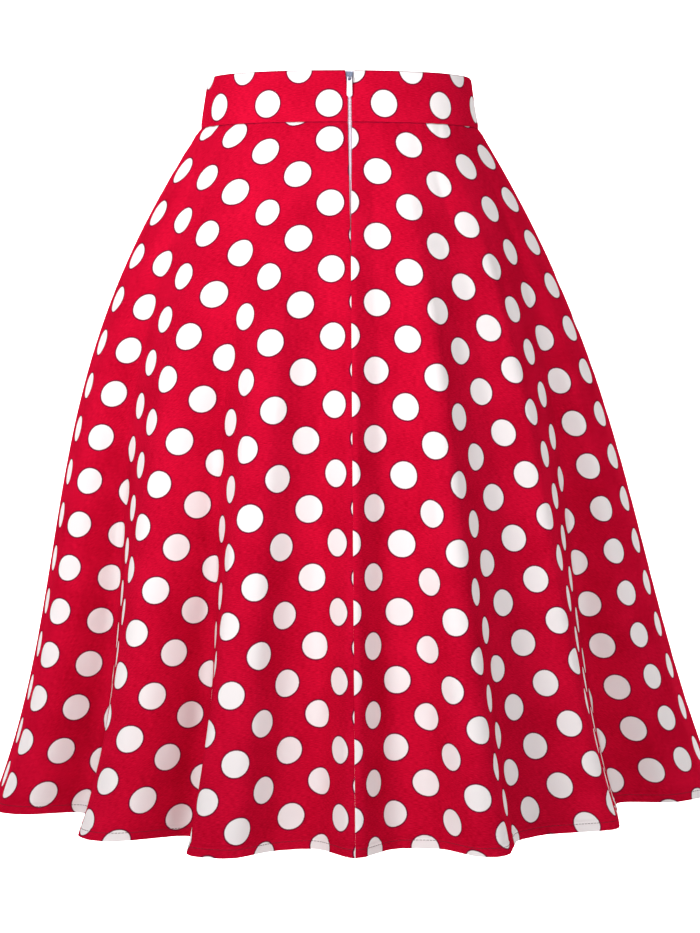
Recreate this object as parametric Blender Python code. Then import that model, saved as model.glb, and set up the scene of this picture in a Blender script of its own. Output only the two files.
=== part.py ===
"""Circle skirt with a straight waistband and a concealed zip down the centre back.

The skirt hangs as it is worn, filled out and hollow, with nobody in it.
Frame: metres, +Z up, +X to the wearer's right, -Y to the wearer's back.
The origin is the middle of the waist seam, where the wearer's waist holds the skirt.

Every panel is a patch of one surface. A point of it is named by two numbers: its share of the
way from the waist seam to the hem, and its station, the distance from the centre back along the
hem of the flat pattern, positive towards the wearer's right. On the flat pattern the waist seam
and the hem are arcs about one point, so a level ring of the worn skirt is as long as its arc.
"""
import math
from collections import namedtuple

import bmesh
import bpy
import numpy as np
from mathutils import Matrix, Vector

# The cut, in metres.
WAIST_LENGTH = 0.640
WAIST_RADIUS = 0.186
SKIRT_LENGTH = 0.585
HEM_RADIUS = WAIST_RADIUS + SKIRT_LENGTH
HALF_HEM = 0.5 * WAIST_LENGTH * HEM_RADIUS / WAIST_RADIUS
BAND_HEIGHT = 0.041
BAND_TOP_SHARE = 0.945
CLOTH_WALL = 0.0015
BAND_WALL = 0.0020
SEAM_GAP = 0.0003

# The oval that the waist makes: how far its back stands behind the middle, how much the turning
# of its edge is held back at the back and front, and held back more at the back, how much less
# so at the hem, how far round from the oval's own middle, in radians, the back seam is worn, and
# how far that puts it to the wearer's right of the origin.
BACK_DEPTH = 0.084
FLATNESS = 0.20
BACK_FLATNESS = 0.08
HEM_ROUNDING = 0.20
SEAM_TURN = 0.085
SEAM_OFFSET = 0.0085

# The zip: its opening, tape and coil.
ZIP_OPENING = 0.0032
ZIP_TOP_OPENING = 0.0070
ZIP_TOP_FLARE = 0.020
ZIP_LENGTH = 0.200
ZIP_CLOSES_BY = 0.23
TAPE_WIDTH = 0.024
TAPE_WALL = 0.0010
TAPE_FACE = BAND_WALL + SEAM_GAP
TAPE_BELOW_EDGE = 0.0005
COIL_WALL = 0.0012
COIL_SHOWS = 0.080

# The slider with its bridge, and the pull tab, whose crossbar turns inside the bridge.
SLIDER_FOOT = 0.0295
SLIDER_HEIGHT = 0.0100
SLIDER_TOP_HALF = 0.0027
SLIDER_FOOT_HALF = 0.0017
SLIDER_DEPTH = 0.0032
SLIDER_PROUD = 0.0013
AXIS_PROUD = 0.0026
BRIDGE_INNER = 0.0010
BRIDGE_WALL = 0.0007
BRIDGE_ROOT = 0.0003
BRIDGE_HALF_WIDTH = 0.0007
BRIDGE_STEPS = 8
PULL_THICKNESS = 0.0008
PULL_LENGTH = 0.0155
PULL_HALF_WIDTH = 0.0022
PULL_EYE_HALF = 0.0020
PULL_CLEARANCE = 0.0004
PULL_STEPS = 10
EYE_DEPTH = 0.0026

# The plain colours of the cloth, the zip and its metal.
RED = (0.74, 0.012, 0.045)
LILAC = (0.78, 0.66, 0.78)
BLUE_GREY = (0.30, 0.33, 0.42)

# Where the mesh of a panel has its corners.
ROWS = (0.0, 0.05, 0.11, 0.18, 0.26, 0.35, 0.45, 0.55, 0.65, 0.75, 0.84, 0.92, 1.0)
BACK_COLUMNS = 48
FRONT_COLUMNS = 60
BAND_RISES = (BAND_HEIGHT, 0.037, 0.033, 0.029, 0.025, 0.0)
TAPE_COLUMNS = 6
COIL_COLUMNS = 2
ZIP_BAND_ROWS = 3
BAND_COLUMNS = 16
ZIP_ROWS = 6
FINE = np.linspace(-HALF_HEM, HALF_HEM, 2401)
QUARTER = 0.5 * HALF_HEM
SLOPE_STEPS = 121
SLICE = 0.002
SHARP_ANGLE = 60.0

# One row for each level of the skirt: the share of the way down, and the slope from plumb of the
# cloth at the back and at the sides. It leaves the hips, hangs steeper and flares at the hem.
Level = namedtuple("Level", "share back_slope side_slope")
LEVELS = (
    Level(0.00, 22, 27),
    Level(0.20, 14, 23),
    Level(0.50, 10, 17),
    Level(0.75, 20, 15),
    Level(1.00, 36, 15),
)

# The folds grow from nothing at the waist seam, quickly at first, to their full depth at the
# hem, and the centre back seam sways a little to the wearer's right on its way down.
FOLD_ONSET = 1.9
SWAY = 0.004

# One row for each flank of a fold at the back, from the centre back seam outwards: how much of
# the hem it takes, and the way the hem runs there, as its angle in degrees to the line across
# the back. It is positive where the hem draws in towards the body on its way out to the side,
# and 90 where it goes straight in, so the next fold shows from behind that edge.
Flank = namedtuple("Flank", "length angle")
LEFT_FLANKS = (
    Flank(0.050, 60),
    Flank(0.030, -20),
    Flank(0.045, -50),
    Flank(0.034, 20),
    Flank(0.085, 92),
    Flank(0.055, -30),
    Flank(0.020, 0),
    Flank(0.022, 50),
    Flank(0.115, 88),
    Flank(0.045, -20),
    Flank(0.025, 25),
    Flank(0.080, 80),
)
RIGHT_FLANKS = (
    Flank(0.050, 60),
    Flank(0.032, 0),
    Flank(0.045, -55),
    Flank(0.020, 10),
    Flank(0.065, 82),
    Flank(0.036, 50),
    Flank(0.062, 20),
    Flank(0.130, 86),
    Flank(0.045, -5),
    Flank(0.046, 45),
    Flank(0.060, 75),
)
# The front has plain folds: so many flanks from each side to the centre front, which lean both
# ways in turn from the plain oval, a little unevenly from one flank to the next.
FRONT_FLANKS = 8
FRONT_LEAN = 54.0
FRONT_UNEVENNESS = 0.15
UNEVEN_STEP = 2.4

# Half of the length over which a ridge or hollow turns.
FOLD_ROUNDING = 0.014

# Beyond this station the rings are drawn together to meet at the centre front.
FRONT_STARTS = 0.62


def smooth_step(value):
    """Rise from 0 to 1 while value goes from 0 to 1, with no corner at either end."""
    held = np.clip(value, 0.0, 1.0)
    return held * held * (3.0 - 2.0 * held)


def level_value(column, share):
    """Read one column of LEVELS at any share of the way down."""
    shares = [level.share for level in LEVELS]
    return np.interp(share, shares, [getattr(level, column) for level in LEVELS])


def fold_share(share):
    """How much of their lean at the hem the folds have at a share of the way down."""
    return 1.0 - (1.0 - share) ** FOLD_ONSET


def drop(column, share):
    """Height lost between the waist seam and a share of the way down, from a slope column."""
    slopes = level_value(column, np.linspace(0.0, share, SLOPE_STEPS))
    return SKIRT_LENGTH * share * np.mean(np.cos(np.radians(slopes)))


def back_reach(share):
    """Distance of the centre back behind the origin at a share of the way down."""
    slopes = level_value("back_slope", np.linspace(0.0, share, SLOPE_STEPS))
    return BACK_DEPTH + SKIRT_LENGTH * share * np.mean(np.sin(np.radians(slopes)))


def oval_heading(share):
    """The way a level ring would run with no folds, in radians from the line across the back."""
    turn = math.pi * FINE / HALF_HEM + SEAM_TURN
    rounding = 1.0 - HEM_ROUNDING * share
    heading = turn - rounding * FLATNESS * np.sin(2.0 * turn)
    return heading - rounding * BACK_FLATNESS / 3.0 * np.sin(3.0 * turn)


def past(distance, limit):
    """0 before a limit and 1 past it, turning over as gently as a fold does."""
    return smooth_step((distance - limit) / (2.0 * FOLD_ROUNDING) + 0.5)


def side_lean(flanks, distance, oval):
    """Lean of the hem against the oval on one side of the centre back, outwards from it."""
    total = np.zeros_like(distance)
    start = 0.0
    for flank in flanks:
        end = start + flank.length
        before = past(distance, start) if start > 0.0 else 1.0
        total += (math.radians(flank.angle) - oval) * (before - past(distance, end))
        start = end
    last = HALF_HEM - FOLD_ROUNDING
    width = (last - start) / FRONT_FLANKS
    for number in range(FRONT_FLANKS):
        sign = 1.0 if number % 2 == 0 else -1.0
        uneven = 1.0 + FRONT_UNEVENNESS * math.sin(UNEVEN_STEP * number)
        tilt = math.radians(sign * FRONT_LEAN * uneven)
        total += tilt * (past(distance, start) - past(distance, start + width))
        start += width
    return total


def lean():
    """Lean of the hem against the plain oval at every fine station, in radians."""
    distance = np.abs(FINE)
    oval = oval_heading(1.0)
    left = side_lean(LEFT_FLANKS, distance, -oval)
    right = side_lean(RIGHT_FLANKS, distance, oval)
    over_seam = smooth_step(FINE / (2.0 * FOLD_ROUNDING) + 0.5)
    return right * over_seam - left * (1.0 - over_seam)


def running_sum(values, step):
    """Integral of values from the middle of the array outwards, both ways."""
    steps = 0.5 * (values[1:] + values[:-1]) * step
    total = np.concatenate(([0.0], np.cumsum(steps)))
    return total - total[len(values) // 2]


def ring(share):
    """Plan of the skirt's level ring at a share of the way down: x and y at every fine station."""
    heading = oval_heading(share) + fold_share(share) * lean()
    step = (FINE[1] - FINE[0]) * (WAIST_RADIUS + share * SKIRT_LENGTH) / HEM_RADIUS
    x = running_sum(np.cos(heading), step)
    y = running_sum(np.sin(heading), step)
    # The two ends meet at the centre front: each half of the front takes half of the misfit.
    weight = smooth_step((np.abs(FINE) - FRONT_STARTS) / (HALF_HEM - FRONT_STARTS))
    half_gap_x = 0.5 * np.sign(FINE) * (x[-1] - x[0]) + 0.5 * (x[-1] + x[0])
    half_gap_y = 0.5 * np.sign(FINE) * (y[-1] - y[0])
    x = x - weight * half_gap_x + SEAM_OFFSET + SWAY * share
    y = y - weight * half_gap_y - back_reach(share)
    return x, y


def height(share):
    """Height of the surface at every fine station; back and sides drop by their own slopes."""
    toward_side = np.clip(np.abs(FINE) / QUARTER, 0.0, 1.0) ** 2
    return -drop("back_slope", share) * (1.0 - toward_side) - drop("side_slope", share) * toward_side


def skirt_level(share):
    """The whole level ring as points."""
    x, y = ring(share)
    return np.stack((x, y, height(share)), axis=1)


def band_level(rise):
    """The whole ring of the waistband at a rise above the waist seam; it narrows upwards."""
    x, y = ring(0.0)
    scale = 1.0 - (1.0 - BAND_TOP_SHARE) * rise / BAND_HEIGHT
    return np.stack((x * scale, y * scale, np.full_like(x, rise)), axis=1)


def outward(level, lower_level):
    """Unit normals of the surface at a level, from the ring itself and one a little lower."""
    ahead = np.gradient(level, axis=0)
    down = lower_level - level
    normal = np.cross(ahead, -down)
    return normal / np.linalg.norm(normal, axis=1, keepdims=True)


def pick(points, stations):
    """Read a fine ring at a few stations."""
    return np.stack([np.interp(stations, FINE, points[:, axis]) for axis in range(3)], axis=1)


def spread(share, first, last, columns, first_gap, last_gap):
    """Stations between two seams, kept clear of each by a gap measured on the cloth."""
    stretch = HEM_RADIUS / (WAIST_RADIUS + share * SKIRT_LENGTH)
    return np.linspace(first + first_gap * stretch, last - last_gap * stretch, columns + 1)


def skirt_row(share, stations, inward):
    """Points of one level row of the skirt, set in from the outer face by a distance."""
    level = skirt_level(share)
    if share < 1.0:
        normal = outward(level, skirt_level(share + SLICE))
    else:
        normal = outward(skirt_level(share - SLICE), level)
    row = pick(level - inward * normal, stations)
    if share == 0.0:
        row[:, 2] -= 0.5 * SEAM_GAP
    return row


def band_row(rise, stations, inward):
    """Points of one level row of the waistband, set in from its outer face by a distance."""
    level = band_level(rise)
    normal = outward(level, band_level(rise - SLICE * BAND_HEIGHT))
    row = pick(level - inward * normal, stations)
    row[:, 2] = max(rise, 0.5 * SEAM_GAP)
    return row


def opening_half_width(share):
    """Half of the gap that the zip shows through; it closes to a plain seam below."""
    closing = smooth_step(share / ZIP_CLOSES_BY)
    return 0.5 * (ZIP_OPENING * (1.0 - closing) + SEAM_GAP * closing)


def band_opening_half_width(rise):
    """Half of the gap between the ends of the band, which spread round the slider."""
    spreading = smooth_step(1.0 - (BAND_HEIGHT - rise) / ZIP_TOP_FLARE)
    return 0.5 * (ZIP_OPENING + (ZIP_TOP_OPENING - ZIP_OPENING) * spreading)


def material(name, colour, roughness, metallic=0.0):
    """A plain Principled material."""
    made = bpy.data.materials.new(name)
    made.use_nodes = True
    shader = made.node_tree.nodes["Principled BSDF"]
    shader.inputs["Base Color"].default_value = (*colour, 1.0)
    shader.inputs["Roughness"].default_value = roughness
    shader.inputs["Metallic"].default_value = metallic
    made.diffuse_color = (*colour, 1.0)
    return made


def link(name, mesh, finish):
    """Put a mesh in the scene as a named object."""
    mesh.materials.append(finish)
    made = bpy.data.objects.new(name, mesh)
    bpy.context.scene.collection.objects.link(made)
    return made


def cloth_wall(name, outer, inner, finish):
    """A closed wall between two sheets of points, given as level rows, top row first."""
    shell = bmesh.new()
    faces = [[[shell.verts.new(point) for point in row] for row in sheet] for sheet in (outer, inner)]
    outside, inside = faces
    last_row = len(outside) - 1
    last_column = len(outside[0]) - 1
    for row in range(last_row):
        for column in range(last_column):
            for sheet, flip in ((outside, False), (inside, True)):
                upper = sheet[row][column:column + 2]
                lower = sheet[row + 1][column:column + 2]
                corners = (upper[0], lower[0], lower[1], upper[1])
                shell.faces.new(corners[::-1] if flip else corners)
    for column in range(last_column):
        for row, flip in ((0, False), (last_row, True)):
            near = outside[row][column:column + 2]
            far = inside[row][column:column + 2]
            corners = (near[0], near[1], far[1], far[0])
            shell.faces.new(corners[::-1] if flip else corners)
    for row in range(last_row):
        for column, flip in ((0, False), (last_column, True)):
            near = (outside[row][column], outside[row + 1][column])
            far = (inside[row][column], inside[row + 1][column])
            corners = (near[0], far[0], far[1], near[1])
            shell.faces.new(corners[::-1] if flip else corners)
    mesh = bpy.data.meshes.new(name)
    shell.to_mesh(mesh)
    shell.free()
    mesh.shade_smooth()
    mesh.set_sharp_from_angle(angle=math.radians(SHARP_ANGLE))
    return link(name, mesh, finish)


def joined_at_front(maker):
    """Rows from the right side seam through the centre front to the left one."""
    right = maker(QUARTER, HALF_HEM, 0.5 * SEAM_GAP, 0.0)
    left = maker(-HALF_HEM, -QUARTER, 0.0, 0.5 * SEAM_GAP)
    return [np.concatenate((one, other[1:])) for one, other in zip(right, left)]


def skirt_sheet(first, last, columns, first_gap, last_gap, inward):
    """Level rows of the skirt between two seams; a gap may change with the share."""
    rows = []
    for share in ROWS:
        gaps = [gap(share) if callable(gap) else gap for gap in (first_gap, last_gap)]
        rows.append(skirt_row(share, spread(share, first, last, columns, *gaps), inward))
    return rows


def band_sheet(first, last, columns, first_gap, last_gap, inward):
    """Level rows of the waistband between two seams; a gap may change with the rise."""
    rows = []
    for rise in BAND_RISES:
        gaps = [gap(rise) if callable(gap) else gap for gap in (first_gap, last_gap)]
        rows.append(band_row(rise, spread(0.0, first, last, columns, *gaps), inward))
    return rows


def wall_between(name, maker, wall, finish):
    """A wall of a given thickness whose outer face is the maker's sheet."""
    return cloth_wall(name, maker(0.0), maker(wall), finish)


def skirt_panels(red):
    """The front panel and the two back panels, each a wall hanging from the waist seam."""
    half_seam = 0.5 * SEAM_GAP

    def left(inward):
        return skirt_sheet(-QUARTER, 0.0, BACK_COLUMNS, half_seam, opening_half_width, inward)

    def right(inward):
        return skirt_sheet(0.0, QUARTER, BACK_COLUMNS, opening_half_width, half_seam, inward)

    def front(inward):
        return joined_at_front(
            lambda start, end, start_gap, end_gap:
            skirt_sheet(start, end, FRONT_COLUMNS // 2, start_gap, end_gap, inward))

    wall_between("back_left_panel", left, CLOTH_WALL, red)
    wall_between("back_right_panel", right, CLOTH_WALL, red)
    wall_between("front_panel", front, CLOTH_WALL, red)


def waistband(red):
    """The band, in three strips: the back ones stop at the zip and all meet at the side seams."""
    half_seam = 0.5 * SEAM_GAP

    def left(inward):
        return band_sheet(-QUARTER, 0.0, BAND_COLUMNS, half_seam, band_opening_half_width, inward)

    def right(inward):
        return band_sheet(0.0, QUARTER, BAND_COLUMNS, band_opening_half_width, half_seam, inward)

    def front(inward):
        return joined_at_front(
            lambda start, end, start_gap, end_gap:
            band_sheet(start, end, BAND_COLUMNS, start_gap, end_gap, inward))

    wall_between("waistband_back_left", left, BAND_WALL, red)
    wall_between("waistband_back_right", right, BAND_WALL, red)
    wall_between("waistband_front", front, BAND_WALL, red)


def zip_strip(width, top, length, columns, inward):
    """Rows of a strip down the centre back, this far in from the outer face of the cloth."""
    def stations(share):
        reach = 0.5 * width(share)
        return spread(share, 0.0, 0.0, columns, -reach, -reach)

    rows = [band_row(rise, stations(0.0), inward) for rise in np.linspace(top, 0.0, ZIP_BAND_ROWS)]
    last_share = (length - top) / SKIRT_LENGTH
    for share in np.linspace(0.0, last_share, ZIP_ROWS + 1)[1:]:
        rows.append(skirt_row(share, stations(share), inward))
    return rows


def zip_tape(lilac):
    """The tape lies just behind the cloth on both sides of the opening."""
    faces = (TAPE_FACE, TAPE_FACE + TAPE_WALL)
    top = BAND_HEIGHT - TAPE_BELOW_EDGE
    sheets = [
        zip_strip(lambda share: TAPE_WIDTH, top, ZIP_LENGTH, TAPE_COLUMNS, inward)
        for inward in faces]
    cloth_wall("zip_tape", *sheets, lilac)


def zip_coil(lilac):
    """The closed coil lies on the tape, in the opening, and narrows as the opening closes."""
    def width(share):
        return 2.0 * (opening_half_width(share) - SEAM_GAP)

    faces = (TAPE_FACE - SEAM_GAP - COIL_WALL, TAPE_FACE - SEAM_GAP)
    top = SLIDER_FOOT - SEAM_GAP
    sheets = [zip_strip(width, top, top + COIL_SHOWS, COIL_COLUMNS, inward) for inward in faces]
    cloth_wall("zip_coil", *sheets, lilac)


def extruded(name, outline, axis, half_width, hole=()):
    """A closed prism: a flat outline with an optional hole, pushed both ways along an axis."""
    drawing = bpy.data.curves.new(name, "CURVE")
    drawing.dimensions = "2D"
    drawing.fill_mode = "BOTH"
    drawing.extrude = half_width
    for loop in (outline, hole):
        if not loop:
            continue
        spline = drawing.splines.new("POLY")
        spline.points.add(len(loop) - 1)
        for point, (across, up) in zip(spline.points, loop):
            point.co = (across, up, 0.0, 1.0)
        spline.use_cyclic_u = True
    holder = bpy.data.objects.new(name, drawing)
    bpy.context.scene.collection.objects.link(holder)
    mesh = bpy.data.meshes.new_from_object(holder.evaluated_get(bpy.context.evaluated_depsgraph_get()))
    bpy.data.objects.remove(holder, do_unlink=True)
    mesh.name = name
    solid = bmesh.new()
    solid.from_mesh(mesh)
    bmesh.ops.remove_doubles(solid, verts=solid.verts, dist=1e-6)
    turn = Matrix.Rotation(math.pi / 2.0, 4, "X")
    if axis == "X":
        turn = Matrix.Rotation(math.pi / 2.0, 4, "Z") @ turn
    bmesh.ops.transform(solid, matrix=turn, verts=solid.verts)
    bmesh.ops.recalc_face_normals(solid, faces=solid.faces)
    solid.to_mesh(mesh)
    solid.free()
    return mesh


def arc(centre, radius, start, end, steps):
    """Points of an arc, angles in degrees."""
    angles = np.radians(np.linspace(start, end, steps + 1))
    return [(centre[0] + radius * math.cos(a), centre[1] + radius * math.sin(a)) for a in angles]


def zip_slider(metal, seat, tilt):
    """A tapered slider body in the opening, with an arched bridge that holds the pull tab."""
    top = 0.5 * SLIDER_HEIGHT
    outline = [(-SLIDER_TOP_HALF, top), (SLIDER_TOP_HALF, top)]
    outline += [(SLIDER_FOOT_HALF, -top), (-SLIDER_FOOT_HALF, -top)]
    body = link("zip_slider", extruded("zip_slider", outline, "Y", 0.5 * SLIDER_DEPTH), metal)
    body.data.transform(Matrix.Translation((0.0, 0.5 * SLIDER_DEPTH - SLIDER_PROUD, 0.0)))
    outer = BRIDGE_INNER + BRIDGE_WALL
    foot = -SLIDER_PROUD + BRIDGE_ROOT
    profile = [(foot, -outer)] + arc((-AXIS_PROUD, 0.0), outer, 270.0, 90.0, BRIDGE_STEPS) + [(foot, outer)]
    profile += [(foot, BRIDGE_INNER)] + arc((-AXIS_PROUD, 0.0), BRIDGE_INNER, 90.0, 270.0, BRIDGE_STEPS)
    profile += [(foot, -BRIDGE_INNER)]
    bridge = link("zip_bridge", extruded("zip_bridge", profile, "X", BRIDGE_HALF_WIDTH), metal)
    bridge.hide_render = True
    bridge.display_type = "WIRE"
    bridge.parent = body
    union = body.modifiers.new("bridge", "BOOLEAN")
    union.operation = "UNION"
    union.object = bridge
    body.location = seat
    body.rotation_euler = (tilt, 0.0, 0.0)
    return body


def zip_pull(metal, hinge):
    """The pull tab: a small plate that hangs plumb from its crossbar inside the bridge."""
    half = 0.5 * PULL_THICKNESS
    end = -PULL_LENGTH + PULL_HALF_WIDTH
    outline = [(PULL_EYE_HALF, half), (-PULL_EYE_HALF, half), (-PULL_EYE_HALF, -EYE_DEPTH)]
    outline += arc((0.0, end), PULL_HALF_WIDTH, 180.0, 360.0, PULL_STEPS)
    outline += [(PULL_EYE_HALF, -EYE_DEPTH)]
    hole_half = BRIDGE_HALF_WIDTH + PULL_CLEARANCE
    hole = [(-hole_half, -half), (hole_half, -half), (hole_half, -EYE_DEPTH), (-hole_half, -EYE_DEPTH)]
    tab = link("zip_pull", extruded("zip_pull", outline, "Y", half, hole), metal)
    tab.location = hinge
    return tab


def zip_metalwork(metal):
    """Slider at the top of the closed zip, square to the band, and its pull tab."""
    seat = band_row(SLIDER_FOOT + 0.5 * SLIDER_HEIGHT, np.zeros(1), 0.0)[0]
    below = band_row(SLIDER_FOOT, np.zeros(1), 0.0)[0]
    tilt = -math.atan2(seat[1] - below[1], seat[2] - below[2])
    slider = zip_slider(metal, seat, tilt)
    bpy.context.view_layer.update()
    hinge = slider.matrix_world @ Vector((0.0, -AXIS_PROUD, 0.0))
    zip_pull(metal, hinge)


def main():
    for old in list(bpy.data.objects):
        bpy.data.objects.remove(old, do_unlink=True)
    red = material("red_cotton", RED, 0.75)
    lilac = material("lilac_tape", LILAC, 0.70)
    metal = material("blue_grey_metal", BLUE_GREY, 0.35, 0.9)
    skirt_panels(red)
    waistband(red)
    zip_tape(lilac)
    zip_coil(lilac)
    zip_metalwork(metal)


main()
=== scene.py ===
"""Looks of a red polka-dot circle skirt, seen from the back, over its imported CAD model.

The cloth is made again from the same named sizes as the CAD solids, much finer, with its seams,
turned hem, zip coil and soft creases. Metres, +Z up, -Y is the wearer's back.
"""

import math
from collections import namedtuple

import bpy
import numpy as np
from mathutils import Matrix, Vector


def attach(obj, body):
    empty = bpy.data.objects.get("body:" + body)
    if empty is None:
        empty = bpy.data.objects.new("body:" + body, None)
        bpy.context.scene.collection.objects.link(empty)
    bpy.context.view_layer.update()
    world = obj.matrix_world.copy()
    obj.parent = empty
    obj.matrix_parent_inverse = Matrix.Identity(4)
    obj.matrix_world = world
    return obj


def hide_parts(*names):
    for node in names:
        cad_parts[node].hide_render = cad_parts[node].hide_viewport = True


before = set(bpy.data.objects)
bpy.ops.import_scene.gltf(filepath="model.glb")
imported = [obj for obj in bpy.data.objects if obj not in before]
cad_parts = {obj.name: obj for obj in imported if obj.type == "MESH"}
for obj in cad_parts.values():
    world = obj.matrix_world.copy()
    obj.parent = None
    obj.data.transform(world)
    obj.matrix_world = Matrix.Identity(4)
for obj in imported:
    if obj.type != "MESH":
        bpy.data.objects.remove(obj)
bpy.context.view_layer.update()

# The cut and the form, as in the CAD model.
WAIST_LENGTH = 0.640
WAIST_RADIUS = 0.186
SKIRT_LENGTH = 0.585
HEM_RADIUS = WAIST_RADIUS + SKIRT_LENGTH
HALF_HEM = 0.5 * WAIST_LENGTH * HEM_RADIUS / WAIST_RADIUS
QUARTER = 0.5 * HALF_HEM
BAND_HEIGHT = 0.041
BAND_TOP_SHARE = 0.945
BAND_WALL = 0.0020
SEAM_GAP = 0.0003
BACK_DEPTH = 0.084
FLATNESS = 0.20
BACK_FLATNESS = 0.08
HEM_ROUNDING = 0.20
SEAM_TURN = 0.085
SEAM_OFFSET = 0.0085
FOLD_ONSET = 1.9
SWAY = 0.004
FRONT_FLANKS = 8
FRONT_LEAN = 54.0
FRONT_UNEVENNESS = 0.15
UNEVEN_STEP = 2.4
FOLD_ROUNDING = 0.014
FRONT_STARTS = 0.62
SLICE = 0.002
SLOPE_STEPS = 121
FINE = np.linspace(-HALF_HEM, HALF_HEM, 2401)

Level = namedtuple("Level", "share back_slope side_slope")
LEVELS = (
    Level(0.00, 22, 27),
    Level(0.20, 14, 23),
    Level(0.50, 10, 17),
    Level(0.75, 20, 15),
    Level(1.00, 36, 15),
)

# One row for each flank of a fold, from the centre back outwards: the hem it takes and the
# angle, in degrees, that the hem makes there with the line across the back.
Flank = namedtuple("Flank", "length angle")
LEFT_FLANKS = (
    Flank(0.050, 60),
    Flank(0.030, -20),
    Flank(0.045, -50),
    Flank(0.034, 20),
    Flank(0.085, 92),
    Flank(0.055, -30),
    Flank(0.020, 0),
    Flank(0.022, 50),
    Flank(0.115, 88),
    Flank(0.045, -20),
    Flank(0.025, 25),
    Flank(0.080, 80),
)
RIGHT_FLANKS = (
    Flank(0.050, 60),
    Flank(0.032, 0),
    Flank(0.045, -55),
    Flank(0.020, 10),
    Flank(0.065, 82),
    Flank(0.036, 50),
    Flank(0.062, 20),
    Flank(0.130, 86),
    Flank(0.045, -5),
    Flank(0.046, 45),
    Flank(0.060, 75),
)

# The zip, as in the CAD model.
ZIP_OPENING = 0.0032
ZIP_TOP_OPENING = 0.0070
ZIP_TOP_FLARE = 0.020
ZIP_LENGTH = 0.200
ZIP_CLOSES_BY = 0.23
TAPE_WIDTH = 0.024
TAPE_WALL = 0.0010
TAPE_FACE = BAND_WALL + SEAM_GAP
TAPE_BELOW_EDGE = 0.0005
COIL_WALL = 0.0012
COIL_SHOWS = 0.080
SLIDER_FOOT = 0.0295

# What the fine cloth adds, all within a millimetre or two of the solids.
CLOTH_SHELL = 0.0011
BAND_SHELL = 0.0018
SEWN_GAP = 0.00002
SHARP_ANGLE = 55.0
HEM_TURN = 0.0085
HEM_SWELL = 0.0005
HEM_STEP = 0.0015
STITCH_ABOVE_EDGE = 0.0066
STITCH_HALF_WIDTH = 0.00028
STITCH_PITCH = 0.0026
STITCH_SHARE = 0.8
BAND_WAVE_HEIGHT = 0.00025
BAND_WAVE_LENGTH = 0.083
SEAM_PUCKER_PLACE = 0.008

Groove = namedtuple("Groove", "depth reach")
SEAM_GROOVE = Groove(0.0009, 0.0018)
WAIST_GROOVE = Groove(0.0006, 0.003)
BAND_FOOT_GROOVE = Groove(0.0006, 0.0022)
BAND_TOP_ROUND = Groove(0.0008, 0.0009)
STITCH_GROOVE = Groove(0.0004, 0.0007)

Ripple = namedtuple("Ripple", "height length reach")
WAIST_PUCKER = Ripple(0.00022, 0.011, 0.014)
BAND_PUCKER = Ripple(0.00018, 0.009, 0.007)
SEAM_PUCKER = Ripple(0.00018, 0.019, 0.005)
HEM_PUCKER = Ripple(0.00020, 0.013, 0.010)

# How finely the cloth is divided: closer together within an edge of the given width.
WAIST_ROWS = 9
MIDDLE_ROWS = 131
HEM_ROWS = 18
PANEL_EDGE_SHARE = 0.03
PANEL_EDGE = 0.010
BAND_ROWS = 22
BAND_EDGE_ROWS = 8
BAND_TOP_EDGE = 0.003
BAND_EDGE = 0.008
EDGE_COLUMNS = 6
BACK_PANEL_COLUMNS = 170
FRONT_PANEL_COLUMNS = 270
BACK_BAND_COLUMNS = 60
FRONT_BAND_COLUMNS = 110
TAPE_ROWS = 90
TAPE_COLUMNS = 17

# The coil's loops: their pitch, the points round and along each, how far a loop reaches out and
# along, as shares of the coil's wall and of the pitch, the least square of its size at the ends,
# and the half width of the opening below which no loop shows.
COIL_PITCH = 0.0012
COIL_SIDES = 8
COIL_SECTIONS = 6
COIL_LIFT = 0.48
COIL_SLIDE = 0.40
COIL_END_SIZE = 0.02
COIL_LEAST_HALF = 0.0004

# The print: white dots on two grids, one set half a pitch across and half a pitch down.
DOT_ACROSS = 0.0510
DOT_DOWN = 0.0540
DOT_RADIUS = 0.0109
DOT_EDGE = 0.0012
DOT_BLUR = 0.0005
DOT_WOBBLE = 0.0005
DOT_EDGE_BLUR = 0.0006
DOT_EDGE_WEIGHT = 0.9

# Where one dot of the first grid lies, on each piece, from its grain line and the waist seam.
Phase = namedtuple("Phase", "across down")
LEFT_PHASE = Phase(0.0160, 0.0685)
RIGHT_PHASE = Phase(0.0470, 0.0685)
FRONT_PHASE = Phase(0.0000, 0.0450)
BAND_LEFT_PHASE = Phase(0.0167, 0.0145)
BAND_RIGHT_PHASE = Phase(0.0279, 0.0145)
BAND_FRONT_PHASE = Phase(0.0000, 0.0145)

# The cloth's surface: the tape's rib, the cotton's weave, its uneven red and faint sheen, half the
# width of the painted shade just below the waist seam and along the band's top edge, and how strong
# that painted shade and the stitches are.
TAPE_RIB = 0.0009
WEAVE_PITCH = 0.00055
WEAVE_WEIGHT = 0.35
SLUB_WEIGHT = 0.7
PATCH_WEIGHT = 0.3
SHADE_GAIN = 4.5
SHADE_START = 1.7
COTTON_BUMP = 0.35
COTTON_BUMP_DEPTH = 0.0003
LEAST_ROUGHNESS = 0.66
SLUB_ROUGHNESS = 0.16
SHEEN = (0.9, 0.06, 0.14)
SHEEN_WEIGHT = 0.04
SHEEN_ROUGHNESS = 0.5
SEAM_SHADE_HALF_WIDTH = 0.0013
STITCH_AND_SHADE_WEIGHT = 0.8

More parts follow.
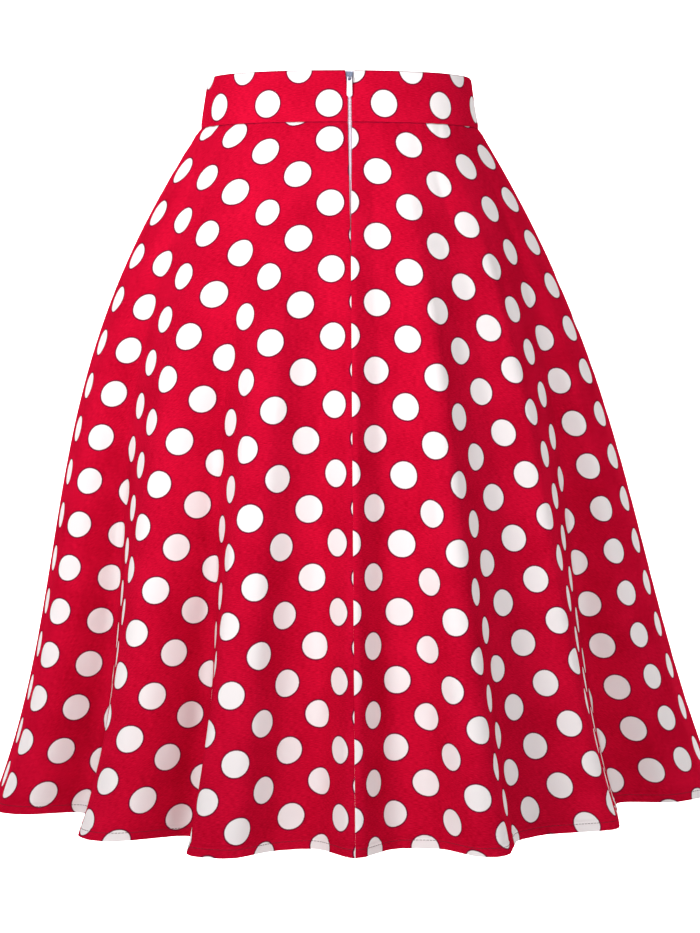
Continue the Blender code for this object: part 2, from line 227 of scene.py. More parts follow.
# Colours, as linear red, green and blue.
Print = namedtuple("Print", "ground shade dot outline")
OUTSIDE = Print((0.66, 0.0046, 0.036), (0.42, 0.0013, 0.017), (0.92, 0.86, 0.865), (0.14, 0.003, 0.028))
REVERSE = Print((0.66, 0.06, 0.10), (0.56, 0.04, 0.08), (0.85, 0.72, 0.73), (0.35, 0.04, 0.07))
STITCH_COLOUR = (0.10, 0.02, 0.035)
# Painted shade just below the waist seam and along the band's top edge.
SEAM_SHADE_COLOUR = (0.14, 0.004, 0.02)
PAPER = (0.93, 0.93, 0.93)
WHITE = (1.0, 1.0, 1.0)

# The studio: half width of the sweep and height of its wall, where its floor and its wall lie and
# the bend between them; the camera, with its pitch in degrees and its lens in millimetres.
SWEEP_SIZE = 6.0
SWEEP_FLOOR = -1.05
SWEEP_BACK = 5.2
SWEEP_BEND = 0.8
BEND_STEPS = 12
WORLD_LIGHT = 0.22
CAMERA_DISTANCE = 2.31
CAMERA_HEIGHT = -0.1785
CAMERA_PITCH = 2.42
CAMERA_LENS = 108.4
SENSOR_HEIGHT = 36.0
CAMERA_REACH = 30.0

Light = namedtuple("Light", "name place target size power spread")
LIGHTS = (
    Light("key", (-1.9, -2.55, 0.7), (SEAM_OFFSET, 0.0, 0.28), 1.0, 8.2, 45.0),
    Light("fill", (1.6, -2.8, 0.3), (SEAM_OFFSET, 0.0, 0.10), 2.2, 9.0, 70.0),
    Light("wall", (0.0, 2.9, 3.0), (0.0, 4.8, -0.4), 3.0, 520.0, 180.0),
)

# Soft creases pressed into the cloth: where each starts and ends, as station and share of the
# way down, how wide it is and how far it sinks; a negative depth is a ridge.
Crease = namedtuple("Crease", "station share end_station end_share width depth")
CREASES = (
    Crease(-0.290, 0.02, -0.262, 0.20, 0.030, 0.0011),
    Crease(-0.180, 0.03, -0.195, 0.16, 0.024, 0.0008),
    Crease(-0.120, 0.16, -0.105, 0.34, 0.028, 0.0010),
    Crease(-0.050, 0.30, -0.062, 0.52, 0.020, 0.0008),
    Crease(-0.410, 0.05, -0.380, 0.24, 0.036, -0.0012),
    Crease(-0.215, 0.38, -0.235, 0.58, 0.022, -0.0009),
    Crease(-0.520, 0.10, -0.505, 0.33, 0.034, 0.0013),
    Crease(0.060, 0.05, 0.052, 0.21, 0.022, 0.0008),
    Crease(0.150, 0.22, 0.138, 0.40, 0.028, -0.0010),
    Crease(0.235, 0.04, 0.250, 0.18, 0.030, 0.0010),
    Crease(0.340, 0.14, 0.330, 0.36, 0.032, 0.0012),
    Crease(0.100, 0.48, 0.112, 0.66, 0.018, 0.0007),
    Crease(0.455, 0.06, 0.470, 0.28, 0.036, -0.0012),
    Crease(0.580, 0.18, 0.560, 0.38, 0.030, 0.0011),
    Crease(-0.760, 0.04, -0.790, 0.25, 0.034, 0.0012),
    Crease(-0.930, 0.12, -0.915, 0.30, 0.030, -0.0010),
    Crease(-1.120, 0.05, -1.105, 0.22, 0.036, 0.0011),
    Crease(0.800, 0.08, 0.770, 0.27, 0.032, 0.0011),
    Crease(0.990, 0.03, 1.010, 0.20, 0.034, -0.0011),
    Crease(1.200, 0.10, 1.180, 0.29, 0.030, 0.0010),
)


# ---- The surface ----

def smooth_step(value):
    """Rise from 0 to 1 while value goes from 0 to 1, with no corner at either end."""
    held = np.clip(value, 0.0, 1.0)
    return held * held * (3.0 - 2.0 * held)


def level_value(column, share):
    """Read one column of LEVELS at any share of the way down."""
    shares = [level.share for level in LEVELS]
    return np.interp(share, shares, [getattr(level, column) for level in LEVELS])


def drop(column, share):
    """Height lost between the waist seam and a share of the way down."""
    slopes = level_value(column, np.linspace(0.0, share, SLOPE_STEPS))
    return SKIRT_LENGTH * share * np.mean(np.cos(np.radians(slopes)))


def back_reach(share):
    """Distance of the centre back behind the origin at a share of the way down."""
    slopes = level_value("back_slope", np.linspace(0.0, share, SLOPE_STEPS))
    return BACK_DEPTH + SKIRT_LENGTH * share * np.mean(np.sin(np.radians(slopes)))


def oval_heading(share):
    """The way a level ring would run with no folds, in radians."""
    turn = math.pi * FINE / HALF_HEM + SEAM_TURN
    rounding = 1.0 - HEM_ROUNDING * share
    heading = turn - rounding * FLATNESS * np.sin(2.0 * turn)
    return heading - rounding * BACK_FLATNESS / 3.0 * np.sin(3.0 * turn)


def past(distance, limit):
    """0 before a limit and 1 past it, turning over as gently as a fold does."""
    return smooth_step((distance - limit) / (2.0 * FOLD_ROUNDING) + 0.5)


def side_lean(flanks, distance, oval):
    """Lean of the hem against the oval on one side of the centre back, outwards from it."""
    total = np.zeros_like(distance)
    start = 0.0
    for flank in flanks:
        end = start + flank.length
        before = past(distance, start) if start > 0.0 else 1.0
        total += (math.radians(flank.angle) - oval) * (before - past(distance, end))
        start = end
    last = HALF_HEM - FOLD_ROUNDING
    width = (last - start) / FRONT_FLANKS
    for number in range(FRONT_FLANKS):
        sign = 1.0 if number % 2 == 0 else -1.0
        uneven = 1.0 + FRONT_UNEVENNESS * math.sin(UNEVEN_STEP * number)
        tilt = math.radians(sign * FRONT_LEAN * uneven)
        total += tilt * (past(distance, start) - past(distance, start + width))
        start += width
    return total


def lean():
    """Lean of the hem against the plain oval at every fine station, in radians."""
    distance = np.abs(FINE)
    oval = oval_heading(1.0)
    left = side_lean(LEFT_FLANKS, distance, -oval)
    right = side_lean(RIGHT_FLANKS, distance, oval)
    over_seam = smooth_step(FINE / (2.0 * FOLD_ROUNDING) + 0.5)
    return right * over_seam - left * (1.0 - over_seam)


LEAN = lean()


def running_sum(values, step):
    """Integral of values from the middle of the array outwards, both ways."""
    steps = 0.5 * (values[1:] + values[:-1]) * step
    total = np.concatenate(([0.0], np.cumsum(steps)))
    return total - total[len(values) // 2]


def ring(share):
    """Plan of the skirt's level ring at a share of the way down."""
    heading = oval_heading(share) + (1.0 - (1.0 - share) ** FOLD_ONSET) * LEAN
    step = (FINE[1] - FINE[0]) * (WAIST_RADIUS + share * SKIRT_LENGTH) / HEM_RADIUS
    x = running_sum(np.cos(heading), step)
    y = running_sum(np.sin(heading), step)
    weight = smooth_step((np.abs(FINE) - FRONT_STARTS) / (HALF_HEM - FRONT_STARTS))
    half_gap_x = 0.5 * np.sign(FINE) * (x[-1] - x[0]) + 0.5 * (x[-1] + x[0])
    half_gap_y = 0.5 * np.sign(FINE) * (y[-1] - y[0])
    x = x - weight * half_gap_x + SEAM_OFFSET + SWAY * share
    return x, y - weight * half_gap_y - back_reach(share)


def skirt_level(share):
    """The whole level ring as points."""
    x, y = ring(share)
    toward_side = np.clip(np.abs(FINE) / QUARTER, 0.0, 1.0) ** 2
    z = -drop("back_slope", share) * (1.0 - toward_side) - drop("side_slope", share) * toward_side
    return np.stack((x, y, z), axis=1)


def band_level(rise):
    """The whole ring of the waistband at a rise above the waist seam; it narrows upwards."""
    x, y = ring(0.0)
    scale = 1.0 - (1.0 - BAND_TOP_SHARE) * rise / BAND_HEIGHT
    return np.stack((x * scale, y * scale, np.full_like(x, rise)), axis=1)


def outward(level, lower_level):
    """Unit normals of the surface at a level."""
    normal = np.cross(np.gradient(level, axis=0), level - lower_level)
    return normal / np.linalg.norm(normal, axis=1, keepdims=True)


def pick(points, stations):
    """Read a fine ring at a few stations."""
    return np.stack([np.interp(stations, FINE, points[:, axis]) for axis in range(3)], axis=1)


def skirt_frame(share):
    """Level ring of the skirt and its normals."""
    level = skirt_level(share)
    if share < 1.0 - SLICE:
        return level, outward(level, skirt_level(share + SLICE))
    return level, outward(skirt_level(share - SLICE), level)


def band_frame(rise):
    """Level ring of the waistband and its normals."""
    level = band_level(rise)
    return level, outward(level, band_level(rise - SLICE * BAND_HEIGHT))


def opening_half_width(share):
    """Half of the gap that the zip shows through; it closes to a plain seam below."""
    closing = smooth_step(share / ZIP_CLOSES_BY)
    return 0.5 * (ZIP_OPENING * (1.0 - closing) + SEWN_GAP * closing)


def band_opening_half_width(rise):
    """Half of the gap between the ends of the band, which spread round the slider."""
    spreading = smooth_step(1.0 - (BAND_HEIGHT - rise) / ZIP_TOP_FLARE)
    return 0.5 * (ZIP_OPENING + (ZIP_TOP_OPENING - ZIP_OPENING) * spreading)


# ---- What the cloth does on that surface ----

def crease_relief(stations, share):
    """How far the creases sink or raise a row of the cloth."""
    total = np.zeros_like(stations)
    for crease in CREASES:
        along = (share - crease.share) / (crease.end_share - crease.share)
        if not 0.0 < along < 1.0:
            continue
        centre = crease.station + along * (crease.end_station - crease.station)
        fade = math.sin(math.pi * along) ** 2
        total -= crease.depth * fade * np.exp(-((stations - centre) / (0.5 * crease.width)) ** 2)
    return total


def groove(cut, distance):
    """How far a groove sinks the cloth at a distance from its middle."""
    return -cut.depth * np.exp(-(distance / cut.reach) ** 2)


def ripples(pucker, along, distance):
    """Ripples along a line, which die away with the distance from it."""
    fade = np.exp(-(distance / pucker.reach) ** 2)
    return pucker.height * fade * np.sin(2.0 * math.pi * along / pucker.length)


def skirt_relief(stations, share, first, last):
    """Creases, the pull of the seams and the turned, stitched hem, along one row."""
    scale = (WAIST_RADIUS + share * SKIRT_LENGTH) / HEM_RADIUS
    along = stations * scale
    from_waist = share * SKIRT_LENGTH
    from_edge = (1.0 - share) * SKIRT_LENGTH
    relief = crease_relief(stations, share)
    relief += groove(WAIST_GROOVE, from_waist) + ripples(WAIST_PUCKER, along, from_waist)
    for seam in (first, last):
        from_seam = np.abs(stations - seam) * scale
        relief += groove(SEAM_GROOVE, from_seam)
        relief += ripples(SEAM_PUCKER, from_waist, from_seam - SEAM_PUCKER_PLACE)
    relief += HEM_SWELL * smooth_step(1.0 - (from_edge - HEM_TURN) / HEM_STEP)
    relief += groove(STITCH_GROOVE, from_edge - STITCH_ABOVE_EDGE)
    return relief + ripples(HEM_PUCKER, along, from_edge)


def band_relief(stations, rise, first, last):
    """The folded top edge, the seam below and faint waves from the stiffening inside."""
    scale = WAIST_RADIUS / HEM_RADIUS
    along = stations * scale
    swing = math.sin(math.pi * rise / BAND_HEIGHT)
    relief = BAND_WAVE_HEIGHT * swing * np.sin(2.0 * math.pi * along / BAND_WAVE_LENGTH)
    relief += groove(BAND_FOOT_GROOVE, rise) + ripples(BAND_PUCKER, along, rise)
    relief += groove(BAND_TOP_ROUND, BAND_HEIGHT - rise)
    for seam in (first, last):
        relief += groove(SEAM_GROOVE, (stations - seam) * scale)
    return relief


def steps(start, end, count, edge, edge_count):
    """Values from start to end, closer together near both ends."""
    near = np.linspace(start, start + edge, edge_count + 1)
    far = np.linspace(end - edge, end, edge_count + 1)
    middle = np.linspace(start + edge, end - edge, count + 1)
    return np.concatenate((near[:-1], middle, far[1:]))


def panel_rows():
    """Shares of the way down of a panel's rows, closer together at the waist and the hem."""
    above_hem = 1.0 - PANEL_EDGE_SHARE
    parts = (
        (0.0, PANEL_EDGE_SHARE, WAIST_ROWS),
        (PANEL_EDGE_SHARE, above_hem, MIDDLE_ROWS),
        (above_hem, 1.0, HEM_ROWS),
    )
    rows = [np.linspace(start, end, count, endpoint=False) for start, end, count in parts]
    return np.concatenate((*rows, [1.0]))


# ---- Meshes ----

def add_object(name, data):
    """Put a mesh, a lamp or a camera into the scene."""
    made = bpy.data.objects.new(name, data)
    bpy.context.scene.collection.objects.link(made)
    return made


def laid(level, normal, stations, relief, wall):
    """Outside and inside of a row of cloth; stations past the centre front wrap round."""
    wrapped = np.where(stations > HALF_HEM, stations - 2.0 * HALF_HEM, stations)
    facing = pick(normal, wrapped)
    raised = pick(level, wrapped) + relief[:, None] * facing
    return raised, raised - wall * facing


def shell(name, outer, inner, flat, finishes):
    """A closed thin shell from two sheets of rows; flat holds each point's place on the cloth."""
    rows, columns = outer.shape[:2]
    count = rows * columns
    points = np.concatenate((outer.reshape(-1, 3), inner.reshape(-1, 3)))
    index = np.arange(count).reshape(rows, columns)
    quads = np.stack((index[:-1, :-1], index[1:, :-1], index[1:, 1:], index[:-1, 1:]), axis=-1)
    quads = quads.reshape(-1, 4)
    inside = quads[:, ::-1] + count
    rims = []
    edges = ((index[0], False), (index[-1], True), (index[:, 0], True), (index[:, -1], False))
    for edge, flip in edges:
        rim = np.stack((edge[:-1], edge[1:], edge[1:] + count, edge[:-1] + count), axis=-1)
        rims.append(rim[:, ::-1] if flip else rim)
    faces = np.concatenate((quads, inside, *rims))
    mesh = bpy.data.meshes.new(name)
    mesh.from_pydata(points.tolist(), [], faces.tolist())
    corners = np.empty(len(mesh.loops), dtype=np.int32)
    mesh.loops.foreach_get("vertex_index", corners)
    for layer, place in flat.items():
        both = np.concatenate((place.reshape(-1, 2), place.reshape(-1, 2)))
        mesh.uv_layers.new(name=layer).data.foreach_set("uv", both[corners].ravel())
    for finish in finishes:
        mesh.materials.append(finish)
    slots = np.zeros(len(faces), dtype=np.int32)
    slots[len(quads):2 * len(quads)] = len(finishes) - 1
    mesh.polygons.foreach_set("material_index", slots)
    mesh.shade_smooth()
    mesh.set_sharp_from_angle(angle=math.radians(SHARP_ANGLE))
    return add_object(name, mesh)


def flat_place(stations, share, centre, phase):
    """Place on the flat cloth of a row, from the piece's own grain line, in metres."""
    radius = WAIST_RADIUS + share * SKIRT_LENGTH
    angle = (stations - centre) / HEM_RADIUS
    across = np.abs(radius * np.sin(angle)) - phase.across
    down = radius * np.cos(angle) - WAIST_RADIUS - phase.down
    return np.stack((across, down), axis=-1)


def panel(name, first, last, gaps, columns, grain, phase, finishes):
    """One skirt panel, from one seam's station to the next."""
    outer, inner, flat, edge = [], [], [], []
    for share in panel_rows():
        level, normal = skirt_frame(share)
        stretch = HEM_RADIUS / (WAIST_RADIUS + share * SKIRT_LENGTH)
        start = first + gaps[0](share) * stretch
        end = last - gaps[1](share) * stretch
        stations = steps(start, end, columns, PANEL_EDGE * stretch, EDGE_COLUMNS)
        relief = skirt_relief(stations, share, first, last)
        raised, under = laid(level, normal, stations, relief, CLOTH_SHELL)
        if share == 0.0:
            raised[:, 2] -= 0.5 * SEWN_GAP
            under[:, 2] -= 0.5 * SEWN_GAP
        outer.append(raised)
        inner.append(under)
        flat.append(flat_place(stations, share, grain, phase))
        along = stations / stretch
        edge.append(np.stack((along, np.full_like(along, (1.0 - share) * SKIRT_LENGTH)), axis=-1))
    places = {"flat": np.array(flat), "edge": np.array(edge)}
    return shell(name, np.array(outer), np.array(inner), places, finishes)


def band_piece(name, first, last, gaps, columns, grain, phase, finishes):
    """One strip of the waistband."""
    outer, inner, flat, edge = [], [], [], []
    scale = WAIST_RADIUS / HEM_RADIUS
    for rise in steps(BAND_HEIGHT, 0.5 * SEWN_GAP, BAND_ROWS, -BAND_TOP_EDGE, BAND_EDGE_ROWS):
        level, normal = band_frame(rise)
        start = first + gaps[0](rise) / scale
        end = last - gaps[1](rise) / scale
        stations = steps(start, end, columns, BAND_EDGE / scale, EDGE_COLUMNS)
        relief = band_relief(stations, rise, first, last)
        raised, under = laid(level, normal, stations, relief, BAND_SHELL)
        outer.append(raised)
        inner.append(under)
        across = np.abs(stations - grain) * scale - phase.across
        flat.append(np.stack((across, np.full_like(across, rise - phase.down)), axis=-1))
        above_hem = SKIRT_LENGTH + BAND_HEIGHT - rise
        edge.append(np.stack((stations * scale, np.full_like(across, above_hem)), axis=-1))
    places = {"flat": np.array(flat), "edge": np.array(edge)}
    return shell(name, np.array(outer), np.array(inner), places, finishes)


def zip_path(rise_or_drop, inward):
    """A point at the centre back: above the waist seam if positive, down the skirt if not."""
    if rise_or_drop >= 0.0:
        level, normal = band_frame(rise_or_drop)
    else:
        level, normal = skirt_frame(-rise_or_drop / SKIRT_LENGTH)
    centre = np.zeros(1)
    return Vector((pick(level, centre) - inward * pick(normal, centre))[0])


def tape_piece(finish):
    """The zip tape behind the opening, with its woven rib."""
    outer, inner, flat, edge = [], [], [], []
    top = BAND_HEIGHT - TAPE_BELOW_EDGE
    for place in np.linspace(top, top - ZIP_LENGTH, TAPE_ROWS):
        if place >= 0.0:
            level, normal = band_frame(place)
            stretch = HEM_RADIUS / WAIST_RADIUS
        else:
            share = -place / SKIRT_LENGTH
            level, normal = skirt_frame(share)
            stretch = HEM_RADIUS / (WAIST_RADIUS + share * SKIRT_LENGTH)
        stations = np.linspace(-0.5 * TAPE_WIDTH, 0.5 * TAPE_WIDTH, TAPE_COLUMNS) * stretch
        surface = pick(level, stations)
        facing = pick(normal, stations)
        outer.append(surface - TAPE_FACE * facing)
        inner.append(surface - (TAPE_FACE + TAPE_WALL) * facing)
        along = np.stack((stations / stretch, np.full_like(stations, place)), axis=-1)
        flat.append(along)
        edge.append(along)
    places = {"flat": np.array(flat), "edge": np.array(edge)}
    return shell("zip_tape_woven", np.array(outer), np.array(inner), places, [finish])


def loop_points(centre, half, across, out):
    """One loop of the coil: a flattened bar across the opening, thinner towards its ends."""
    along = out.cross(across)
    points = []
    for section in range(COIL_SECTIONS + 1):
        way = 2.0 * section / COIL_SECTIONS - 1.0
        size = math.sqrt(max(1.0 - way ** 4, COIL_END_SIZE))
        for side in range(COIL_SIDES):
            angle = 2.0 * math.pi * side / COIL_SIDES
            lift = COIL_LIFT * COIL_WALL * size * math.cos(angle) * out
            slide = COIL_SLIDE * COIL_PITCH * size * math.sin(angle) * along
            points.append(centre + half * way * across + lift + slide)
    return points


def loop_faces(base):
    """Faces of one loop whose first point has this index, with both ends closed."""
    faces = []
    for section in range(COIL_SECTIONS):
        here = base + section * COIL_SIDES
        for side in range(COIL_SIDES):
            after = (side + 1) % COIL_SIDES
            beyond = here + COIL_SIDES
            faces.append((here + side, here + after, beyond + after, beyond + side))
    end = base + COIL_SECTIONS * COIL_SIDES
    faces.append([base + side for side in reversed(range(COIL_SIDES))])
    faces.append([end + side for side in range(COIL_SIDES)])
    return faces


def coil_piece(finish):
    """The closed coil: a row of small flattened loops across the opening."""
    points, faces = [], []
    top = SLIDER_FOOT - SEAM_GAP
    middle = TAPE_FACE - SEAM_GAP - 0.5 * COIL_WALL
    across = Vector((1.0, 0.0, 0.0))
    for number in range(int(COIL_SHOWS / COIL_PITCH)):
        place = top - (number + 0.5) * COIL_PITCH
        centre = zip_path(place, middle)
        out = (zip_path(place, middle - 0.001) - centre).normalized()
        share = max(-place, 0.0) / SKIRT_LENGTH
        half = float(opening_half_width(share)) - SEAM_GAP
        if half < COIL_LEAST_HALF:
            break
        faces.extend(loop_faces(len(points)))
        points.extend(loop_points(centre, half, across, out))
    mesh = bpy.data.meshes.new("zip_coil_loops")
    mesh.from_pydata([tuple(point) for point in points], [], faces)
    mesh.materials.append(finish)
    mesh.shade_smooth()
    return add_object("zip_coil_loops", mesh)


# ---- Materials ----

class Nodes:
    """Short calls for building a node tree."""

    def __init__(self, name):
        self.material = bpy.data.materials.new(name)
        self.material.use_nodes = True
        self.tree = self.material.node_tree
        self.shader = self.tree.nodes["Principled BSDF"]

    def add(self, kind, **settings):
        node = self.tree.nodes.new(kind)
        for key, value in settings.items():
            setattr(node, key, value)
        return node

    def join(self, source, socket):
        self.tree.links.new(source, socket)

    def math(self, operation, *values, clamp=False):
        node = self.add("ShaderNodeMath", operation=operation, use_clamp=clamp)
        for socket, value in zip(node.inputs, values):
            if isinstance(value, (int, float)):
                socket.default_value = value
            else:
                self.join(value, socket)
        return node.outputs[0]

    def mix(self, factor, first, second):
        node = self.add("ShaderNodeMix", data_type="RGBA")
        sockets = (node.inputs[0], node.inputs[6], node.inputs[7])
        for socket, value in zip(sockets, (factor, first, second)):
            if isinstance(value, tuple):
                socket.default_value = (*value, 1.0)
            elif isinstance(value, (int, float)):
                socket.default_value = value
            else:
                self.join(value, socket)
        return node.outputs[2]

    def uv(self, layer):
        split = self.add("ShaderNodeSeparateXYZ")
        source = self.add("ShaderNodeUVMap", uv_map=layer)
        self.join(source.outputs[0], split.inputs[0])
        return split.outputs[0], split.outputs[1], source.outputs[0]

    def noise(self, vector, scale, stretch=(1.0, 1.0, 1.0), detail=3.0):
        mapping = self.add("ShaderNodeMapping")
        mapping.inputs["Scale"].default_value = stretch
        self.join(vector, mapping.inputs["Vector"])
        node = self.add("ShaderNodeTexNoise")
        node.inputs["Scale"].default_value = scale
        node.inputs["Detail"].default_value = detail
        self.join(mapping.outputs[0], node.inputs["Vector"])
        return node.outputs[0]

    def bump(self, height, strength, distance):
        node = self.add("ShaderNodeBump")
        node.inputs["Strength"].default_value = strength
        node.inputs["Distance"].default_value = distance
        self.join(height, node.inputs["Height"])
        self.join(node.outputs[0], self.shader.inputs["Normal"])


def grid_distance(nodes, across, down, shift):
    """Distance to the nearest dot centre of one of the two grids."""
    parts = []
    for value, pitch in ((across, DOT_ACROSS), (down, DOT_DOWN)):
        cell = nodes.math("ADD", nodes.math("DIVIDE", value, pitch), 0.5 + shift)
        centred = nodes.math("SUBTRACT", nodes.math("FRACT", cell), 0.5)
        away = nodes.math("MULTIPLY", centred, pitch)
        parts.append(nodes.math("MULTIPLY", away, away))
    return nodes.math("SQRT", nodes.math("ADD", parts[0], parts[1]))


def sine_of(nodes, value, pitch):
    """A wave along a measured direction, with the given pitch."""
    return nodes.math("SINE", nodes.math("MULTIPLY", value, 2.0 * math.pi / pitch))


def inside_of(nodes, limit, distance, blur):
    """1 where a distance is under its limit and 0 past it, with a blurred edge between."""
    return nodes.math("DIVIDE", nodes.math("SUBTRACT", limit, distance), blur, clamp=True)


def dots_on(nodes, ground, flat, across, down, colours):
    """The ground with its dots, each with a thin dark outline and a slightly ragged edge."""
    grids = [grid_distance(nodes, across, down, shift) for shift in (0.0, 0.5)]
    nearest = nodes.math("MINIMUM", *grids)
    ragged = nodes.math("SUBTRACT", nodes.noise(flat, 900.0), 0.5)
    edge = nodes.math("ADD", nearest, nodes.math("MULTIPLY", ragged, DOT_WOBBLE))
    dot = inside_of(nodes, DOT_RADIUS, edge, DOT_BLUR)
    rim = inside_of(nodes, DOT_RADIUS + DOT_EDGE, edge, DOT_EDGE_BLUR)
    outlined = nodes.mix(nodes.math("MULTIPLY", rim, DOT_EDGE_WEIGHT), ground, colours.outline)
    return nodes.mix(dot, outlined, colours.dot)


def stitched(nodes, cloth, along_hem, above_hem):
    """The cloth with the hem's stitches: dark dashes in a line above the edge."""
    off_line = nodes.math("ABSOLUTE", nodes.math("SUBTRACT", above_hem, STITCH_ABOVE_EDGE))
    on_line = nodes.math("LESS_THAN", off_line, STITCH_HALF_WIDTH)
    way = nodes.math("FRACT", nodes.math("DIVIDE", along_hem, STITCH_PITCH))
    dash = nodes.math("LESS_THAN", way, STITCH_SHARE)
    stitch = nodes.math("MULTIPLY", nodes.math("MULTIPLY", on_line, dash), STITCH_AND_SHADE_WEIGHT)
    return nodes.mix(stitch, cloth, STITCH_COLOUR)


def seam_shaded(nodes, cloth, above_hem):
    """The cloth with soft painted shade just below the waist seam and along the band's top edge."""
    from_seam = nodes.math("ABSOLUTE", nodes.math("SUBTRACT", above_hem, SKIRT_LENGTH))
    painted_shade = nodes.math("SUBTRACT", 1.0, nodes.math("DIVIDE", from_seam, SEAM_SHADE_HALF_WIDTH), clamp=True)
    return nodes.mix(nodes.math("MULTIPLY", painted_shade, STITCH_AND_SHADE_WEIGHT), cloth, SEAM_SHADE_COLOUR)


def dotted_cotton(name, colours):
    """Printed plain-weave cotton with slubs, dots, hem stitches and painted shade at the waist seam."""
    nodes = Nodes(name)
    across, down, flat = nodes.uv("flat")
    along_hem, above_hem, _ = nodes.uv("edge")
    slub = nodes.noise(flat, 260.0, (1.0, 9.0, 1.0), 4.0)
    patch = nodes.noise(flat, 22.0)
    weighted = [
        nodes.math("MULTIPLY", value, weight)
        for value, weight in ((slub, SLUB_WEIGHT), (patch, PATCH_WEIGHT))]
    gained = nodes.math("MULTIPLY", nodes.math("ADD", *weighted), SHADE_GAIN)
    uneven = nodes.math("SUBTRACT", gained, SHADE_START, clamp=True)
    ground = nodes.mix(uneven, colours.shade, colours.ground)
    printed = dots_on(nodes, ground, flat, across, down, colours)
    sewn = stitched(nodes, printed, along_hem, above_hem)
    nodes.join(seam_shaded(nodes, sewn, above_hem), nodes.shader.inputs["Base Color"])
    threads = [sine_of(nodes, value, WEAVE_PITCH) for value in (across, down)]
    weave = nodes.math("MULTIPLY", nodes.math("MULTIPLY", *threads), WEAVE_WEIGHT)
    nodes.bump(nodes.math("ADD", weave, slub), COTTON_BUMP, COTTON_BUMP_DEPTH)
    roughness = nodes.math("ADD", LEAST_ROUGHNESS, nodes.math("MULTIPLY", slub, SLUB_ROUGHNESS))
    nodes.join(roughness, nodes.shader.inputs["Roughness"])
    nodes.shader.inputs["Sheen Weight"].default_value = SHEEN_WEIGHT
    nodes.shader.inputs["Sheen Roughness"].default_value = SHEEN_ROUGHNESS
    nodes.shader.inputs["Sheen Tint"].default_value = (*SHEEN, 1.0)
    nodes.shader.inputs["Specular IOR Level"].default_value = 0.0
    return nodes.material


def ribbed_tape():
    """Lilac zip tape with a fine rib."""
    nodes = Nodes("lilac_zip_tape")
    _, down, flat = nodes.uv("flat")
    lilac = nodes.mix(nodes.noise(flat, 400.0), (0.80, 0.62, 0.76), (0.96, 0.86, 0.95))
    nodes.join(lilac, nodes.shader.inputs["Base Color"])
    nodes.bump(sine_of(nodes, down, TAPE_RIB), 0.4, 0.0002)
    nodes.shader.inputs["Roughness"].default_value = 0.75
    nodes.shader.inputs["Sheen Weight"].default_value = 0.15
    return nodes.material


def plain_finish(name, dark, light, roughness, metallic, scale):
    """Moulded or painted zip parts, with slight mottling."""
    nodes = Nodes(name)
    place = nodes.add("ShaderNodeTexCoord").outputs["Object"]
    tone = nodes.noise(place, scale)
    nodes.join(nodes.mix(tone, dark, light), nodes.shader.inputs["Base Color"])
    nodes.bump(tone, 0.15, 0.0001)
    nodes.shader.inputs["Roughness"].default_value = roughness
    nodes.shader.inputs["Metallic"].default_value = metallic
    return nodes.material


# ---- The object ----

def half_seam(_):
    """Half of the gap at a plain seam, whose sewn edges meet."""
    return 0.5 * SEWN_GAP


def settle(piece, node):
    """The piece stands for a CAD node: it hangs under the skirt's body and the node is hidden."""
    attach(piece, "skirt")
    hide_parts(node)


def cloth_pieces(outside, reverse):
    """The three panels and the three strips of the band."""
    faces = [outside, reverse]
    round_front = 3.0 * QUARTER
    panels = (
        ("back_left_panel", -QUARTER, 0.0, (half_seam, opening_half_width),
         BACK_PANEL_COLUMNS, 0.0, LEFT_PHASE),
        ("back_right_panel", 0.0, QUARTER, (opening_half_width, half_seam),
         BACK_PANEL_COLUMNS, 0.0, RIGHT_PHASE),
        ("front_panel", QUARTER, round_front, (half_seam, half_seam),
         FRONT_PANEL_COLUMNS, HALF_HEM, FRONT_PHASE),
    )
    for node, first, last, gaps, columns, grain, phase in panels:
        piece = panel(node + "_cloth", first, last, gaps, columns, grain, phase, faces)
        settle(piece, node)
    bands = (
        ("waistband_back_left", -QUARTER, 0.0, (half_seam, band_opening_half_width),
         BACK_BAND_COLUMNS, 0.0, BAND_LEFT_PHASE),
        ("waistband_back_right", 0.0, QUARTER, (band_opening_half_width, half_seam),
         BACK_BAND_COLUMNS, 0.0, BAND_RIGHT_PHASE),
        ("waistband_front", QUARTER, round_front, (half_seam, half_seam),
         FRONT_BAND_COLUMNS, HALF_HEM, BAND_FRONT_PHASE),
    )
    for node, first, last, gaps, columns, grain, phase in bands:
        piece = band_piece(node + "_cloth", first, last, gaps, columns, grain, phase, faces)
        settle(piece, node)


def zip_pieces():
    """Tape, coil, slider and pull tab."""
    tape = tape_piece(ribbed_tape())
    settle(tape, "zip_tape")
    coil = coil_piece(plain_finish("lilac_coil", (0.78, 0.66, 0.80), (0.95, 0.88, 0.97), 0.4, 0.0, 900.0))
    settle(coil, "zip_coil")
    slider = plain_finish("blue_grey_enamel", (0.16, 0.19, 0.30), (0.36, 0.40, 0.52), 0.35, 0.6, 1200.0)
    pull = plain_finish("pale_lilac_enamel", (0.80, 0.74, 0.86), (0.95, 0.90, 0.98), 0.35, 0.1, 1200.0)
    for node, finish in (("zip_slider", slider), ("zip_pull", pull)):
        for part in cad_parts[node].material_slots:
            part.material = finish


# ---- Studio ----

def area_light(light):
    """A soft square light that looks at its target, with its spread in degrees."""
    lamp = bpy.data.lights.new(light.name, "AREA")
    lamp.shape = "SQUARE"
    lamp.size = light.size
    lamp.energy = light.power
    lamp.spread = math.radians(light.spread)
    made = add_object(light.name, lamp)
    made.location = light.place
    direction = Vector(light.target) - Vector(light.place)
    made.rotation_euler = direction.to_track_quat("-Z", "Y").to_euler()


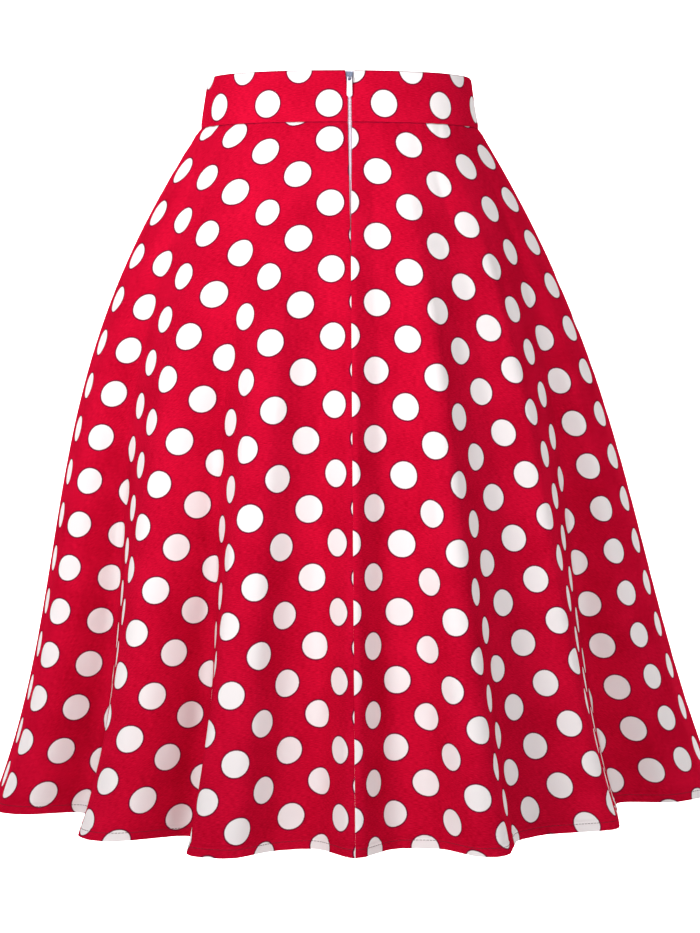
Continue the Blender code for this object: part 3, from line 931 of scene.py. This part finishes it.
def studio_sweep():
    """Plain pale floor that bends up into a wall."""
    start = SWEEP_BACK - SWEEP_BEND
    profile = [(-SWEEP_SIZE, SWEEP_FLOOR), (start, SWEEP_FLOOR)]
    for number in range(1, BEND_STEPS + 1):
        angle = 0.5 * math.pi * number / BEND_STEPS
        rise = SWEEP_BEND * (1.0 - math.cos(angle))
        profile.append((start + SWEEP_BEND * math.sin(angle), SWEEP_FLOOR + rise))
    profile.append((SWEEP_BACK, SWEEP_FLOOR + SWEEP_SIZE))
    points = [(x, y, z) for y, z in profile for x in (-SWEEP_SIZE, SWEEP_SIZE)]
    faces = [(2 * n, 2 * n + 1, 2 * n + 3, 2 * n + 2) for n in range(len(profile) - 1)]
    mesh = bpy.data.meshes.new("studio_sweep")
    mesh.from_pydata(points, [], faces)
    mesh.shade_smooth()
    nodes = Nodes("studio_paper")
    nodes.shader.inputs["Base Color"].default_value = (*PAPER, 1.0)
    nodes.shader.inputs["Roughness"].default_value = 0.9
    mesh.materials.append(nodes.material)
    add_object("studio_sweep", mesh)


def studio_camera():
    """The camera, a little below the waist and behind the wearer's back, tipped down."""
    lens = bpy.data.cameras.new("camera")
    lens.sensor_fit = "VERTICAL"
    lens.sensor_height = SENSOR_HEIGHT
    lens.lens = CAMERA_LENS
    lens.clip_end = CAMERA_REACH
    camera = add_object("camera", lens)
    camera.location = (SEAM_OFFSET, -CAMERA_DISTANCE, CAMERA_HEIGHT)
    camera.rotation_euler = (math.radians(90.0 - CAMERA_PITCH), 0.0, 0.0)
    bpy.context.scene.camera = camera


def studio():
    """Sweep, a key light on the left, a broad one on the right, one for the wall, and camera."""
    studio_sweep()
    for light in LIGHTS:
        area_light(light)
    world = bpy.data.worlds.new("studio")
    world.use_nodes = True
    background = world.node_tree.nodes["Background"]
    background.inputs["Color"].default_value = (*WHITE, 1.0)
    background.inputs["Strength"].default_value = WORLD_LIGHT
    bpy.context.scene.world = world
    bpy.context.scene.view_settings.view_transform = "Standard"
    studio_camera()


def main():
    cloth_pieces(dotted_cotton("dotted_cotton", OUTSIDE), dotted_cotton("dotted_cotton_reverse", REVERSE))
    zip_pieces()
    studio()


main()
